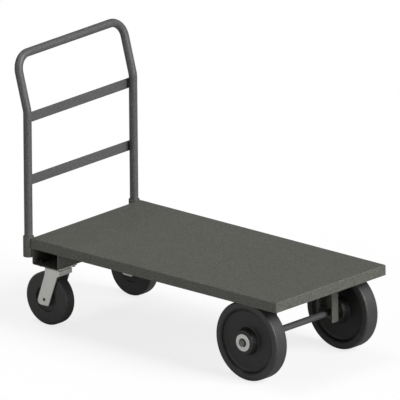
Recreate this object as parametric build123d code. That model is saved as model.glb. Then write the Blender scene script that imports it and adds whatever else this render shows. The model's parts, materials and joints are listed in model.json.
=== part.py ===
from build123d import *
import math
import os

# Platform cart with a lift-out push handle.
# Millimetres. The floor is Z = 0 and the origin is under the middle of the whole cart.
# +X points to the end with the two big fixed wheels, the push handle stands at the -X end,
# and the left side (+Y) is the left of a person who pushes the cart towards +X.

os.makedirs("parts", exist_ok=True)

# Deck: a steel pan with its flange turned down all round.
deck_length = 1219.2
deck_width = 609.6
deck_height = 342.9
deck_sheet = 3.0
deck_flange = 40.0
deck_edge_radius = 4.0
deck_corner_radius = 2.0

# Push handle: one bent tube with two flat bars welded behind its legs.
tube_diameter = 31.75
tube_wall = 2.1
handle_leg_y = 293.0
handle_kink_above_deck = 484.0
handle_lean_length = 211.0
handle_lean_angle = 15.1
handle_kink_radius = 63.5
handle_corner_radius = 63.5
crossbar_height = 38.1
crossbar_thickness = 4.76
lower_bar_above_deck = 207.0
upper_bar_above_deck = 450.0

# Sockets: round tubes on the deck's rear flange, closed by a disc near the bottom.
socket_diameter = 41.28
socket_clearance = 0.25
socket_above_deck = 1.5
socket_below_deck = 77.0
socket_stop_thickness = 5.0
socket_drain_radius = 5.0

# Channels under the deck, all open upwards.
channel_drop = 101.6
channel_front_from_deck_end = 131.0
channel_sheet = 3.0
channel_bend_radius = 6.0
rib_width = 90.0
rib_depth = 34.0
rib_bend_radius = 5.0
middle_rib_from_deck_middle = 20.0
channel_end_gap = 1.2

# Front axle, its two brackets, and the two fixed wheels on it.
axle_diameter = 25.4
axle_length = 623.0
axle_end_chamfer = 2.0
spacer_radius = 19.0
front_axle_from_deck_front = 170.7
bracket_web_y = 190.0
bracket_width = 76.2
bracket_flange = 38.1
bracket_sheet = 4.8
bracket_bend_radius = 5.5
bracket_below_axle = 27.2
front_wheel_diameter = 304.8
front_tread_width = 63.5
front_wheel_y = 251.7
front_hub_length = 94.2
front_tyre_thickness = 25.4
front_tread_edge_radius = 9.0
front_recess_radius = 117.0
front_recess_depth = 13.0
front_recess_slope = 6.0
front_boss_radius = 46.5
front_boss_root_radius = 52.0
front_boss_edge_fillet = 3.0
front_boss_root_fillet = 5.0
front_washer_radius = 33.0
front_washer_thickness = 3.2
front_washer_chamfer = 0.6
ring_radius = 17.0
ring_gap = 9.0
ring_thickness = 1.5
ring_groove_depth = 1.2

# Casters: bolted plate, two ball rows, kingpin, fork and a moulded wheel.
swivel_from_deck_end = 66.7
caster_y = 232.5
caster_trail = 35.0
caster_wheel_diameter = 203.2
caster_tread_width = 50.8
caster_tread_edge_radius = 10.0
caster_hub_length = 58.0
caster_hub_radius = 25.0
caster_recess_radius = 50.0
caster_recess_depth = 8.0
caster_recess_slope = 3.0
caster_hub_slope = 1.5
plate_length = 114.3
plate_width = 101.6
plate_thickness = 6.0
plate_corner_radius = 9.0
bolt_spacing_x = 92.0
bolt_spacing_y = 73.0
bolt_diameter = 9.5
bolt_head_across_flats = 14.3
bolt_head_height = 6.0
bolt_nut_height = 8.2
bolt_end_above_nut = 4.0
race_gap = 8.0
fork_sheet = 4.76
fork_width = 72.0
fork_bend_radius = 6.0
crown_front = 41.0
crown_rear = 30.2
crown_skirt = 22.0
skirt_corner_length = 10.6
skirt_corner_drop = 2.5
rear_knee_below_crown = 24.0
fork_end_front = -15.5
fork_end_rear = -72.5
fork_end_below_axle = 22.2
fork_front_corner_radius = 6.0
fork_rear_corner_radius = 15.0
fork_front_knee_radius = 12.0
fork_rear_knee_radius = 8.0
upper_ball_diameter = 9.5
upper_ball_circle = 23.0
upper_ball_count = 14
lower_ball_diameter = 7.9
lower_ball_circle = 17.0
lower_ball_count = 12
kingpin_diameter = 12.7
kingpin_head_radius = 13.0
kingpin_head_rim = 1.0
kingpin_head_height = 5.0
kingpin_below_nut = 1.0
lower_race_thickness = 4.0
lower_race_radius = 24.0
kingpin_nut_height = 6.0
kingpin_nut_across_flats = 19.0
dust_ring_outer_radius = 30.0
dust_ring_inner_radius = 28.2
caster_axle_diameter = 12.7
caster_axle_proud = 1.2
bushing_diameter = 19.05
thrust_washer_thickness = 2.0
thrust_washer_radius = 22.0

# Roller bearings: a sleeve pressed into the hub, and loose rollers round the shaft.
caster_sleeve_radius = 15.875
caster_sleeve_wall = 1.9
front_sleeve_radius = 19.05
front_sleeve_wall = 2.0
roller_count = 12
roller_end_room = 5.0

# Clearances
press_clearance = 0.02
running_clearance = 0.05
side_clearance = 0.2
hole_clearance = 0.4

# A cut that has to pass through a piece is made this much longer than the piece.
cut_through = 40.0

# Places that follow from the dimensions above.
socket_radius = socket_diameter / 2
tube_radius = tube_diameter / 2
lean_back = handle_lean_length * math.sin(math.radians(handle_lean_angle))
lean_rise = handle_lean_length * math.cos(math.radians(handle_lean_angle))
behind_deck = socket_radius + lean_back + tube_radius
deck_front_x = (deck_length + behind_deck) / 2
deck_rear_x = deck_front_x - deck_length
deck_middle_x = (deck_front_x + deck_rear_x) / 2
deck_under_z = deck_height - deck_sheet
rib_under_z = deck_under_z - rib_depth
inside_width = deck_width - 2 * deck_sheet
channel_length = inside_width - 2 * channel_end_gap

leg_x = deck_rear_x - socket_radius
leg_bottom_z = deck_height - socket_below_deck + socket_stop_thickness
kink_z = deck_height + handle_kink_above_deck
top_bar_x = leg_x - lean_back
top_bar_z = kink_z + lean_rise

channel_under_z = deck_height - channel_drop
channel_rear_x = deck_rear_x + deck_sheet + channel_end_gap
channel_front_x = deck_rear_x + channel_front_from_deck_end

front_axle_x = deck_front_x - front_axle_from_deck_front
front_wheel_radius = front_wheel_diameter / 2
front_axle_z = front_wheel_radius
axle_radius = axle_diameter / 2

swivel_x = deck_rear_x + swivel_from_deck_end
caster_axle_x = swivel_x - caster_trail
caster_wheel_radius = caster_wheel_diameter / 2
caster_axle_z = caster_wheel_radius
plate_under_z = channel_under_z - plate_thickness
crown_top_z = plate_under_z - race_gap
crown_under_z = crown_top_z - fork_sheet
upper_ball_z = (plate_under_z + crown_top_z) / 2
lower_ball_z = crown_under_z - lower_ball_diameter / 2 + 0.35
lower_race_top_z = lower_ball_z - lower_ball_diameter / 2 + 0.35
lower_race_under_z = lower_race_top_z - lower_race_thickness
kingpin_nut_under_z = lower_race_under_z - kingpin_nut_height
fork_inner_width = fork_width - 2 * fork_sheet
kingpin_radius = kingpin_diameter / 2
bushing_radius = bushing_diameter / 2
caster_axle_radius = caster_axle_diameter / 2

SIDES = {"left": 1, "right": -1}


def box_between(low, high):
    """A box from its lowest corner to its highest one."""
    size = [high[i] - low[i] for i in range(3)]
    middle = [(high[i] + low[i]) / 2 for i in range(3)]
    return Pos(*middle) * Box(*size)


def along_y(shape, x, y, z):
    """Turn a shape built round Z so that it lies along Y, and put its middle at (x, y, z)."""
    return Pos(x, y, z) * Rot(90, 0, 0) * shape


def ring(outer_radius, inner_radius, length):
    """A plain round ring, centred, round Z."""
    return Cylinder(outer_radius, length) - Cylinder(inner_radius, length + cut_through)


def turned(points):
    """A solid turned round Z from a closed outline of (radius, height) points."""
    outline = Polyline(*[(radius, 0, height) for radius, height in points], close=True)
    return revolve(make_face(outline), Axis.Z)


def roller_set(shaft_radius, bore_radius, length):
    """Loose rollers between a shaft and a sleeve's bore, as separate solids round Z."""
    roller_radius = (bore_radius - shaft_radius) / 2 - running_clearance
    circle_radius = (bore_radius + shaft_radius) / 2
    places = PolarLocations(circle_radius, roller_count)
    return Compound(children=[place * Cylinder(roller_radius, length) for place in places])


def ball_set(ball_diameter, circle_radius, count):
    """One row of balls round Z, as separate solids."""
    places = PolarLocations(circle_radius, count)
    return Compound(children=[place * Sphere(ball_diameter / 2) for place in places])


def ball_groove(ball_diameter, circle_radius):
    """The ring-shaped cut that leaves a row of balls a little running clearance."""
    return Torus(circle_radius, ball_diameter / 2 + running_clearance)


# ---------------------------------------------------------------- chassis

def deck_pan():
    """Top sheet and the flange turned down all round, with a bend radius along the top edges."""
    shell = box_between(
        (deck_rear_x, -deck_width / 2, deck_height - deck_flange),
        (deck_front_x, deck_width / 2, deck_height),
    )
    shell = fillet(shell.edges().filter_by(Axis.Z), deck_corner_radius)
    top_edges = shell.faces().sort_by(Axis.Z)[-1].edges()
    shell = fillet(top_edges, deck_edge_radius)
    hollow = box_between(
        (deck_rear_x + deck_sheet, -inside_width / 2, deck_height - deck_flange - cut_through),
        (deck_front_x - deck_sheet, inside_width / 2, deck_under_z),
    )
    hollow_top_edges = hollow.faces().sort_by(Axis.Z)[-1].edges()
    hollow = fillet(hollow_top_edges, deck_edge_radius - deck_sheet)
    return shell - hollow


def upward_channel(rear_x, front_x, under_z, top_z, sheet, bend_radius):
    """A bent U channel across the cart, open upwards and at both ends."""
    outer = box_between(
        (rear_x, -channel_length / 2, under_z),
        (front_x, channel_length / 2, top_z),
    )
    outer = fillet(outer.edges().filter_by(Axis.Y).group_by(Axis.Z)[0], bend_radius)
    inner = box_between(
        (rear_x + sheet, -channel_length / 2 - cut_through, under_z + sheet),
        (front_x - sheet, channel_length / 2 + cut_through, top_z + cut_through),
    )
    inner = fillet(inner.edges().filter_by(Axis.Y).group_by(Axis.Z)[0], bend_radius - sheet)
    return outer - inner


def bolt_places(side):
    """The four bolt places of one caster plate, seen from above."""
    places = []
    for step_x in (-0.5, 0.5):
        for step_y in (-0.5, 0.5):
            x = swivel_x + step_x * bolt_spacing_x
            y = side * caster_y + step_y * bolt_spacing_y
            places.append((x, y))
    return places


def caster_channel():
    """The deep channel that both casters are bolted to."""
    body = upward_channel(
        channel_rear_x, channel_front_x, channel_under_z, deck_under_z, channel_sheet, channel_bend_radius
    )
    for side in SIDES.values():
        for x, y in bolt_places(side):
            body -= Pos(x, y, channel_under_z) * Cylinder(bolt_diameter / 2 + hole_clearance, cut_through)
    return body


def rib(middle_x):
    """A shallow stiffening channel under the deck."""
    rear_x = middle_x - rib_width / 2
    front_x = middle_x + rib_width / 2
    return upward_channel(rear_x, front_x, rib_under_z, deck_under_z, deck_sheet, rib_bend_radius)


def axle_bracket(side):
    """A vertical C channel below the front rib. Its flanges point to the cart's middle."""
    low_z = front_axle_z - bracket_below_axle
    inner_y = bracket_web_y - bracket_flange
    outer = box_between(
        (front_axle_x - bracket_width / 2, inner_y, low_z),
        (front_axle_x + bracket_width / 2, bracket_web_y, rib_under_z),
    )
    outer = fillet(outer.edges().filter_by(Axis.Z).group_by(Axis.Y)[-1], bracket_bend_radius)
    half_inside = bracket_width / 2 - bracket_sheet
    inner = box_between(
        (front_axle_x - half_inside, inner_y - cut_through, low_z - cut_through),
        (front_axle_x + half_inside, bracket_web_y - bracket_sheet, rib_under_z + cut_through),
    )
    inner = fillet(inner.edges().filter_by(Axis.Z).group_by(Axis.Y)[-1], bracket_bend_radius - bracket_sheet)
    hole = Cylinder(axle_radius + running_clearance, cut_through)
    hole = along_y(hole, front_axle_x, bracket_web_y, front_axle_z)
    body = outer - inner - hole
    if side < 0:
        body = mirror(body, Plane.XZ)
    return body


def washer_outer_y():
    """How far from the middle the outer face of a front wheel's washer lies."""
    return front_wheel_y + front_hub_length / 2 + side_clearance + front_washer_thickness


def front_axle():
    """A fixed round bar with chamfered ends and a groove near each end."""
    bar = chamfer(Cylinder(axle_radius, axle_length).edges(), axle_end_chamfer)
    groove_width = ring_thickness + 2 * running_clearance
    groove = Cylinder(axle_radius + 1, groove_width) - Cylinder(axle_radius - ring_groove_depth, groove_width)
    groove_y = washer_outer_y() + running_clearance + ring_thickness / 2
    for side in SIDES.values():
        bar -= Pos(0, 0, side * groove_y) * groove
    return along_y(bar, front_axle_x, 0, front_axle_z)


def wheel_spacer(side):
    """The sleeve on the axle between a bracket and the inner end of the hub."""
    inner_y = bracket_web_y + running_clearance
    outer_y = front_wheel_y - front_hub_length / 2 - side_clearance
    tube = ring(spacer_radius, axle_radius + running_clearance, outer_y - inner_y)
    return along_y(tube, front_axle_x, side * (inner_y + outer_y) / 2, front_axle_z)


def wheel_washer(side):
    """The wide plain washer on the outer end of the hub."""
    disc = ring(front_washer_radius, axle_radius + running_clearance, front_washer_thickness)
    rim_edges = disc.edges().filter_by(GeomType.CIRCLE).sort_by(SortBy.RADIUS)[-2:]
    disc = chamfer(rim_edges, front_washer_chamfer)
    return along_y(disc, front_axle_x, side * (washer_outer_y() - front_washer_thickness / 2), front_axle_z)


def retaining_ring(side):
    """An open snap ring in the axle's groove. Its gap is at the bottom."""
    clip = ring(ring_radius, axle_radius - ring_groove_depth + running_clearance, ring_thickness)
    clip -= Pos(0, -ring_radius, 0) * Box(ring_gap, 2 * ring_radius, cut_through)
    clip_y = washer_outer_y() + running_clearance + ring_thickness / 2
    return along_y(clip, front_axle_x, side * clip_y, front_axle_z)


def handle_socket(side):
    """A round tube welded to the deck's rear flange. A leg of the handle drops into it."""
    bore_radius = tube_radius + socket_clearance
    length = socket_above_deck + socket_below_deck
    tube = ring(socket_radius, bore_radius, length)
    middle_z = deck_height + socket_above_deck - length / 2
    return Pos(leg_x, side * handle_leg_y, middle_z) * tube


def socket_stops():
    """The two discs near the bottom of the sockets that the handle's legs stand on."""
    bore_radius = tube_radius + socket_clearance
    middle_z = leg_bottom_z - socket_stop_thickness / 2
    disc = ring(bore_radius - press_clearance, socket_drain_radius, socket_stop_thickness)
    discs = [Pos(leg_x, side * handle_leg_y, middle_z) * disc for side in SIDES.values()]
    return Compound(children=discs)


def hexagon(across_flats, height):
    """A hexagonal block round Z with its bottom face at Z = 0."""
    outline = RegularPolygon(across_flats / 2, 6, major_radius=False)
    return extrude(outline, height)


def caster_bolts():
    """Bolts that hold the caster plates, heads below and ends up inside the channel."""
    shank_top_z = channel_under_z + channel_sheet + bolt_nut_height + bolt_end_above_nut
    shank_length = shank_top_z - plate_under_z
    bolt = Pos(0, 0, shank_length / 2) * Cylinder(bolt_diameter / 2, shank_length)
    bolt += Pos(0, 0, -bolt_head_height) * hexagon(bolt_head_across_flats, bolt_head_height)
    bolts = []
    for side in SIDES.values():
        bolts += [Pos(x, y, plate_under_z) * bolt for x, y in bolt_places(side)]
    return Compound(children=bolts)


def caster_nuts():
    """The nuts on those bolts, on the channel's floor."""
    nut = hexagon(bolt_head_across_flats, bolt_nut_height)
    nut -= Cylinder(bolt_diameter / 2 + press_clearance, cut_through)
    nuts = []
    for side in SIDES.values():
        nuts += [Pos(x, y, channel_under_z + channel_sheet) * nut for x, y in bolt_places(side)]
    return Compound(children=nuts)


# ---------------------------------------------------------------- casters
# Each piece is built round a swivel axis at (0, 0), at its real height, and then moved.

def caster_plate():
    """The bolted top plate with its kingpin hole, countersunk above, and the upper race below."""
    plate = box_between(
        (-plate_length / 2, -plate_width / 2, plate_under_z),
        (plate_length / 2, plate_width / 2, channel_under_z),
    )
    plate = fillet(plate.edges().filter_by(Axis.Z), plate_corner_radius)
    plate -= kingpin_shape(running_clearance)
    plate -= Pos(0, 0, upper_ball_z) * ball_groove(upper_ball_diameter, upper_ball_circle)
    for x, y in bolt_places(1):
        local = (x - swivel_x, y - caster_y, plate_under_z)
        plate -= Pos(*local) * Cylinder(bolt_diameter / 2 + hole_clearance, cut_through)
    return plate


def kingpin_shape(extra):
    """The kingpin's turned shape, grown by a clearance. Its cone head ends flush with the plate."""
    radius = kingpin_radius + extra
    head_radius = kingpin_head_radius + extra
    top = channel_under_z
    end_z = kingpin_nut_under_z - kingpin_below_nut
    outline = [
        (0, end_z),
        (radius, end_z),
        (radius, top - kingpin_head_height),
        (head_radius, top - kingpin_head_rim),
        (head_radius, top),
        (0, top),
    ]
    return turned(outline)


def kingpin():
    """The pin that the fork swivels on."""
    return kingpin_shape(0)


def kingpin_nut():
    """The thin nut that holds the lower race up."""
    nut = Pos(0, 0, kingpin_nut_under_z) * hexagon(kingpin_nut_across_flats, kingpin_nut_height)
    return nut - Pos(0, 0, kingpin_nut_under_z) * Cylinder(kingpin_radius + press_clearance, cut_through)


def lower_race():
    """The turned ring under the lower balls."""
    disc = ring(lower_race_radius, kingpin_radius + press_clearance, lower_race_thickness)
    disc = Pos(0, 0, lower_race_under_z + lower_race_thickness / 2) * disc
    return disc - Pos(0, 0, lower_ball_z) * ball_groove(lower_ball_diameter, lower_ball_circle)


def dust_ring():
    """The rubber ring on the fork's crown that covers the gap round the upper balls."""
    height = race_gap - side_clearance
    return Pos(0, 0, crown_top_z + height / 2) * ring(dust_ring_outer_radius, dust_ring_inner_radius, height)


def fork_side_outline():
    """One fork leg seen from the side: upright under the crown, then slanting back to the axle."""
    end_z = caster_axle_z - fork_end_below_axle
    front_knee = (crown_front - skirt_corner_length, crown_top_z - crown_skirt - skirt_corner_drop)
    rear_knee = (-crown_rear, crown_top_z - rear_knee_below_crown)
    front_end = (fork_end_front, end_z)
    rear_end = (fork_end_rear, end_z)
    corners = [
        (-crown_rear, crown_top_z),
        (crown_front, crown_top_z),
        (crown_front, crown_top_z - crown_skirt),
        front_knee,
        front_end,
        rear_end,
        rear_knee,
    ]
    outline = make_face(Polyline(*[(x, 0, z) for x, z in corners], close=True))
    rounded_corners = {
        front_knee: fork_front_knee_radius,
        front_end: fork_front_corner_radius,
        rear_end: fork_rear_corner_radius,
        rear_knee: fork_rear_knee_radius,
    }
    for (x, z), radius in rounded_corners.items():
        corner = outline.vertices().sort_by_distance((x, 0, z))[0]
        outline = fillet(corner, radius)
    return outline


def caster_yoke():
    """The fork, bent from one plate: a crown with a front skirt, and two legs."""
    legs = extrude(fork_side_outline(), fork_width / 2, both=True)
    crown_edges = legs.faces().sort_by(Axis.Z)[-1].edges()
    side_edges = crown_edges.filter_by(Axis.X)
    front_edge = crown_edges.filter_by(Axis.Y).sort_by(Axis.X)[-1]
    legs = fillet(side_edges + [front_edge], fork_bend_radius)
    inside = box_between(
        (fork_end_rear - cut_through, -fork_inner_width / 2, 0),
        (crown_front - fork_sheet, fork_inner_width / 2, crown_under_z),
    )
    inside_top = inside.faces().sort_by(Axis.Z)[-1]
    inside = fillet(inside_top.edges().filter_by(Axis.X), fork_bend_radius - fork_sheet)
    body = legs - inside
    body -= Pos(0, 0, crown_top_z) * Cylinder(kingpin_radius + running_clearance, cut_through)
    body -= Pos(0, 0, upper_ball_z) * ball_groove(upper_ball_diameter, upper_ball_circle)
    body -= Pos(0, 0, lower_ball_z) * ball_groove(lower_ball_diameter, lower_ball_circle)
    axle_hole = Cylinder(caster_axle_radius + press_clearance, fork_width + cut_through)
    return body - along_y(axle_hole, -caster_trail, 0, caster_axle_z)


def caster_axle():
    """A plain pin through both legs, its ends just proud and rounded over."""
    pin = Cylinder(caster_axle_radius, fork_width + 2 * caster_axle_proud)
    pin = fillet(pin.edges(), caster_axle_proud)
    return along_y(pin, -caster_trail, 0, caster_axle_z)


def spanner_bushing():
    """The steel tube between the legs that the rollers run on."""
    length = fork_inner_width - 2 * press_clearance
    tube = ring(bushing_radius, caster_axle_radius + press_clearance, length)
    return along_y(tube, -caster_trail, 0, caster_axle_z)


def thrust_washers():
    """One washer at each end of the hub."""
    disc = ring(thrust_washer_radius, bushing_radius + press_clearance, thrust_washer_thickness)
    offset = (fork_inner_width - thrust_washer_thickness) / 2 - press_clearance
    discs = [along_y(disc, -caster_trail, side * offset, caster_axle_z) for side in SIDES.values()]
    return Compound(children=discs)


def caster_tread_wheel():
    """A solid moulded wheel: rounded tread edges, flat faces, a round recess and a short boss."""
    half_tread = caster_tread_width / 2
    half_hub = caster_hub_length / 2
    floor = half_tread - caster_recess_depth
    half_outline = [
        (caster_sleeve_radius, half_hub),
        (caster_hub_radius, half_hub),
        (caster_hub_radius + caster_hub_slope, floor),
        (caster_recess_radius - caster_recess_slope, floor),
        (caster_recess_radius, half_tread),
        (caster_wheel_radius, half_tread),
    ]
    other_half = [(radius, -height) for radius, height in reversed(half_outline)]
    wheel = turned(half_outline + other_half)
    rim_edges = wheel.edges().filter_by(GeomType.CIRCLE).sort_by(SortBy.RADIUS)[-2:]
    wheel = fillet(rim_edges, caster_tread_edge_radius)
    return along_y(wheel, -caster_trail, 0, caster_axle_z)


def bearing_sleeve(outer_radius, wall, length):
    """The hard sleeve of a roller bearing, round Z."""
    return ring(outer_radius, outer_radius - wall, length)


def caster_bearing_sleeve():
    """The caster wheel's bearing sleeve."""
    sleeve = bearing_sleeve(caster_sleeve_radius, caster_sleeve_wall, caster_hub_length)
    return along_y(sleeve, -caster_trail, 0, caster_axle_z)


def caster_rollers():
    """The rollers between that sleeve and the spanner bushing."""
    bore_radius = caster_sleeve_radius - caster_sleeve_wall
    rollers = roller_set(bushing_radius, bore_radius, caster_hub_length - roller_end_room)
    return along_y(rollers, -caster_trail, 0, caster_axle_z)


# ---------------------------------------------------------------- front wheels
# Built round Z with its middle at the origin, then laid along the axle.

def tyre():
    """The flat tyre bonded to the wheel's rim."""
    inner_radius = front_wheel_radius - front_tyre_thickness
    band = ring(front_wheel_radius, inner_radius, front_tread_width)
    tread_edges = band.edges().filter_by(GeomType.CIRCLE).sort_by(SortBy.RADIUS)[-2:]
    return fillet(tread_edges, front_tread_edge_radius)


def circles_of(solid, radius):
    """The solid's round edges of one radius."""
    circles = solid.edges().filter_by(GeomType.CIRCLE)
    return circles.filter_by(lambda edge: abs(edge.radius - radius) < 0.01)


def wheel_centre():
    """Rim, recessed disc and long boss, turned as one piece, with a bore for the bearing sleeve."""
    half_tread = front_tread_width / 2
    half_hub = front_hub_length / 2
    floor = half_tread - front_recess_depth
    rim_radius = front_wheel_radius - front_tyre_thickness
    half_outline = [
        (front_sleeve_radius, half_hub),
        (front_boss_radius, half_hub),
        (front_boss_root_radius, floor),
        (front_recess_radius, floor),
        (front_recess_radius + front_recess_slope, half_tread),
        (rim_radius, half_tread),
    ]
    other_half = [(radius, -height) for radius, height in reversed(half_outline)]
    centre = turned(half_outline + other_half)
    centre = fillet(circles_of(centre, front_boss_radius), front_boss_edge_fillet)
    return fillet(circles_of(centre, front_boss_root_radius), front_boss_root_fillet)


def front_bearing_sleeve():
    """The front wheel's bearing sleeve."""
    return bearing_sleeve(front_sleeve_radius, front_sleeve_wall, front_hub_length)


def front_rollers():
    """The rollers that run on the fixed axle."""
    bore_radius = front_sleeve_radius - front_sleeve_wall
    return roller_set(axle_radius, bore_radius, front_hub_length - roller_end_room)


# ---------------------------------------------------------------- handle

def handle_path():
    """The tube's centre line: up a leg, leaning back above the kink, across, and down again."""
    corners = [
        (leg_x, -handle_leg_y, leg_bottom_z),
        (leg_x, -handle_leg_y, kink_z),
        (top_bar_x, -handle_leg_y, top_bar_z),
        (top_bar_x, handle_leg_y, top_bar_z),
        (leg_x, handle_leg_y, kink_z),
        (leg_x, handle_leg_y, leg_bottom_z),
    ]
    radii = [handle_kink_radius, handle_corner_radius, handle_corner_radius, handle_kink_radius]
    return FilletPolyline(*corners, radius=radii)


def handle_tube():
    """The bent round tube."""
    path = handle_path()
    start = Plane(origin=path @ 0, z_dir=path % 0)
    outer = sweep(start * Circle(tube_radius), path=path)
    inner = sweep(start * Circle(tube_radius - tube_wall), path=path)
    return outer - inner


def crossbar(above_deck):
    """A flat bar whose front face touches the backs of both legs."""
    front_x = leg_x - tube_radius
    middle_z = deck_height + above_deck
    return box_between(
        (front_x - crossbar_thickness, -handle_leg_y, middle_z - crossbar_height / 2),
        (front_x, handle_leg_y, middle_z + crossbar_height / 2),
    )


# ---------------------------------------------------------------- all nodes

def chassis_nodes():
    """The pieces that stand still on the cart's frame."""
    nodes = {
        "deck_pan": deck_pan(),
        "caster_channel": caster_channel(),
        "middle_rib": rib(deck_middle_x - middle_rib_from_deck_middle),
        "front_rib": rib(front_axle_x),
        "front_axle": front_axle(),
        "socket_stops": socket_stops(),
        "caster_bolts": caster_bolts(),
        "caster_nuts": caster_nuts(),
    }
    for name, side in SIDES.items():
        nodes[f"axle_bracket_{name}"] = axle_bracket(side)
        nodes[f"handle_socket_{name}"] = handle_socket(side)
        nodes[f"wheel_spacer_{name}"] = wheel_spacer(side)
        nodes[f"wheel_washer_{name}"] = wheel_washer(side)
        nodes[f"retaining_ring_{name}"] = retaining_ring(side)
    return nodes


def caster_nodes():
    """Both casters, the same pieces moved to each side."""
    upper_balls = ball_set(upper_ball_diameter, upper_ball_circle, upper_ball_count)
    lower_balls = ball_set(lower_ball_diameter, lower_ball_circle, lower_ball_count)
    pieces = {
        "caster_plate": caster_plate(),
        "kingpin": kingpin(),
        "kingpin_nut": kingpin_nut(),
        "lower_race": lower_race(),
        "dust_ring": dust_ring(),
        "upper_balls": Pos(0, 0, upper_ball_z) * upper_balls,
        "lower_balls": Pos(0, 0, lower_ball_z) * lower_balls,
        "caster_yoke": caster_yoke(),
        "caster_axle": caster_axle(),
        "spanner_bushing": spanner_bushing(),
        "thrust_washers": thrust_washers(),
        "caster_tread_wheel": caster_tread_wheel(),
        "caster_bearing_sleeve": caster_bearing_sleeve(),
        "caster_rollers": caster_rollers(),
    }
    nodes = {}
    for piece_name, piece in pieces.items():
        for name, side in SIDES.items():
            nodes[f"{piece_name}_{name}"] = Pos(swivel_x, side * caster_y, 0) * piece
    return nodes


def front_wheel_nodes():
    """Both front wheels."""
    pieces = {
        "tyre": tyre(),
        "wheel_centre": wheel_centre(),
        "wheel_bearing_sleeve": front_bearing_sleeve(),
        "wheel_rollers": front_rollers(),
    }
    nodes = {}
    for piece_name, piece in pieces.items():
        for name, side in SIDES.items():
            nodes[f"{piece_name}_{name}"] = along_y(piece, front_axle_x, side * front_wheel_y, front_axle_z)
    return nodes


def handle_nodes():
    """The lift-out handle."""
    return {
        "handle_tube": handle_tube(),
        "lower_crossbar": crossbar(lower_bar_above_deck),
        "upper_crossbar": crossbar(upper_bar_above_deck),
    }


all_nodes = {**chassis_nodes(), **caster_nodes(), **front_wheel_nodes(), **handle_nodes()}
for node_name, shape in all_nodes.items():
    export_step(shape, f"parts/{node_name}.step")
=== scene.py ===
import json
import math

import bmesh
import bpy
from mathutils import Matrix, Vector


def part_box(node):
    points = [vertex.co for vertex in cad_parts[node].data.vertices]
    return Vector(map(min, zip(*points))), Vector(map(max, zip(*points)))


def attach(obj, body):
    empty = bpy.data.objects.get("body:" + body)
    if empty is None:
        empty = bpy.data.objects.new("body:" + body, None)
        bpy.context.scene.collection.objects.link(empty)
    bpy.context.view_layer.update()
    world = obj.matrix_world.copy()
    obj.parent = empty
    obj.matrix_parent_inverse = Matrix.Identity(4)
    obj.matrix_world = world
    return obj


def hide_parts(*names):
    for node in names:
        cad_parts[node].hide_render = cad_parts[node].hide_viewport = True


# Looks of the platform cart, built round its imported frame. Metres, in the frame's own axes:
# +X towards the two fixed wheels, +Z up, the floor at Z = 0.

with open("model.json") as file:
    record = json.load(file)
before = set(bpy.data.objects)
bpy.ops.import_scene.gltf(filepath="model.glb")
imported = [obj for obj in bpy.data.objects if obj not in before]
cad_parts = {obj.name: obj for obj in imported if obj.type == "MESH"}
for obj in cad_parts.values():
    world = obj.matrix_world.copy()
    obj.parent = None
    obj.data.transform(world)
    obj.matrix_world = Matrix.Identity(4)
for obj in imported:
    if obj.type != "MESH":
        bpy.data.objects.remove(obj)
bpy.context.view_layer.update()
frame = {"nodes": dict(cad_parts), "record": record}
cad_nodes = frame["nodes"]

# ---------------------------------------------------------------- sizes, in metres

MM = 0.001
SIDES = {"left": 1, "right": -1}

# Push handle
TUBE_WALL = 2.1 * MM
KINK_ABOVE_DECK = 484 * MM
HANDLE_BEND_RADIUS = 63.5 * MM
BAR_EDGE_RADIUS = 0.9 * MM
SOCKET_BORE_RADIUS = 16.125 * MM
SOCKET_LIP_RADIUS = 1.0 * MM

# How finely shapes are divided
FRONT_WHEEL_SIDES = 160
CASTER_WHEEL_SIDES = 144
TUBE_SIDES = 48
SOCKET_SIDES = 64
BOLT_SIDES = 48
BEAD_SIDES = 10
BEND_STEPS = 14
CORNER_STEPS = 6
BAR_EDGE_STEPS = 3

# Edges that turn by more than this many degrees are shaded sharp.
SHARP_ANGLE = 38
BOLT_SHARP_ANGLE = 25

# Both kinds of wheel
PARTING_RIDGE_HEIGHT = 0.3 * MM
PARTING_RIDGE_HALF_WIDTH = 1.6 * MM
BORE_EDGE_RADIUS = 0.5 * MM

# Front wheels, as radii from the axle and distances from the wheel's middle plane
TREAD_EDGE_RADIUS = 9.5 * MM
TYRE_JOINT_RADIUS = 2.2 * MM
FRONT_HALF_TREAD = 31.75 * MM
FRONT_RECESS_RADIUS = 117 * MM
FRONT_RECESS_DEPTH = 13 * MM
FRONT_RECESS_SLOPE = 6 * MM
FRONT_BOSS_RADIUS = 46.5 * MM
FRONT_BOSS_ROOT_RADIUS = 52 * MM
FRONT_BORE_RADIUS = 19.05 * MM
FRONT_BOSS_EDGE_RADIUS = 3 * MM
FRONT_BOSS_FILLET = 5 * MM
FRONT_RECESS_FILLET = 12 * MM
FRONT_RECESS_EDGE_RADIUS = 3.5 * MM

# Caster wheels
CASTER_EDGE_RADIUS = 10 * MM
CASTER_HALF_TREAD = 25.4 * MM
CASTER_RECESS_RADIUS = 50 * MM
CASTER_RECESS_DEPTH = 8 * MM
CASTER_RECESS_SLOPE = 3 * MM
CASTER_HUB_RADIUS = 25 * MM
CASTER_HUB_SLOPE = 1.5 * MM
CASTER_BORE_RADIUS = 15.875 * MM
CASTER_HUB_EDGE_RADIUS = 1.5 * MM
CASTER_HUB_FILLET = 2.5 * MM
CASTER_RECESS_FILLET = 4 * MM
CASTER_RECESS_EDGE_RADIUS = 2 * MM

# Bolts and nuts of the caster plates
BOLT_SPACING_X = 92 * MM
BOLT_SPACING_Y = 73 * MM
BOLT_RADIUS = 4.75 * MM
BOLT_ACROSS_FLATS = 14.3 * MM
BOLT_HEAD_HEIGHT = 6 * MM
NUT_HEIGHT = 8.2 * MM
THREAD_PITCH = 1.5 * MM
THREAD_DEPTH = 0.6 * MM
THREADED_LENGTH = 15 * MM
THREAD_END_CHAMFER = 0.8 * MM
NUT_MOUTH_CHAMFER = 0.5 * MM

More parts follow.
